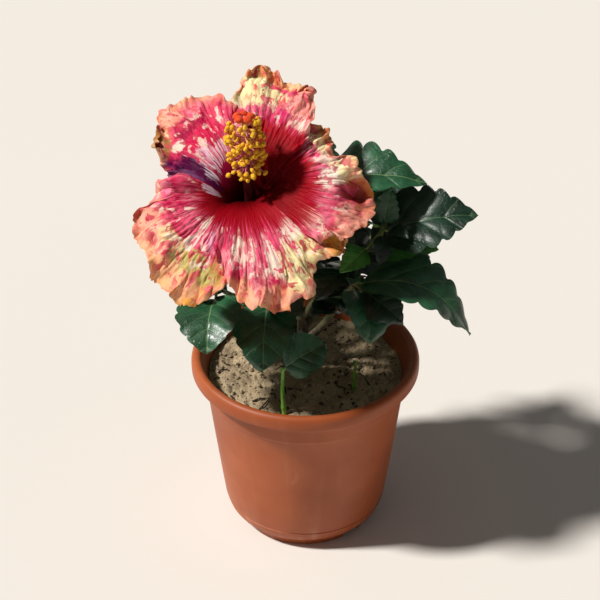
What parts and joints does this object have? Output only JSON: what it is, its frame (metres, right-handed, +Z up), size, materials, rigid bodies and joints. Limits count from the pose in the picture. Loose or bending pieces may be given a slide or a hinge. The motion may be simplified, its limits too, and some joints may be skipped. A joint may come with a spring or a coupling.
{
  "type": "potted hibiscus shrub",
  "caption": "Small hibiscus shrub in a round terracotta-coloured pot, with glossy toothed leaves and one large ruffled bloom.",
  "frame": {"origin": "centre of the pot's flat underside, on the surface it stands on", "axes": "+Z up through the pot's axis; the bloom faces -Y and up; +X to the right as the bloom is faced"},
  "size_m": [0.2375, 0.2032, 0.3578],
  "materials": {
    "pot_plastic": "matte",
    "potting_soil": "matte",
    "bark": "matte",
    "green_stem": "satin",
    "leaf": "satin",
    "young_leaf": "satin",
    "petal": "satin",
    "stamens": "matte"
  },
  "bodies": {
    "root": {"pot": "pot_plastic", "soil": "potting_soil", "trunk": "bark", "bough_leader": "bark", "bough_upper": "bark", "bough_right": "bark", "bough_right_low": "bark", "bough_front": "bark", "bough_left": "bark", "bough_back": "bark", "bough_back_left": "bark", "bough_back_right": "bark", "foliage_right_low": "leaf", "foliage_right": "leaf", "foliage_upper_right": "leaf", "foliage_left": "leaf", "foliage_front": "leaf", "foliage_back": "leaf", "foliage_back_left": "leaf", "foliage_back_right": "leaf", "young_shoot": "young_leaf", "sprout": "young_leaf", "flower_stalk": "green_stem", "calyx": "green_stem", "petal_top": "petal", "petal_right": "petal", "petal_low_right": "petal", "petal_low_left": "petal", "petal_high_left": "petal", "staminal_column": "stamens"}
  },
  "joints": []
}
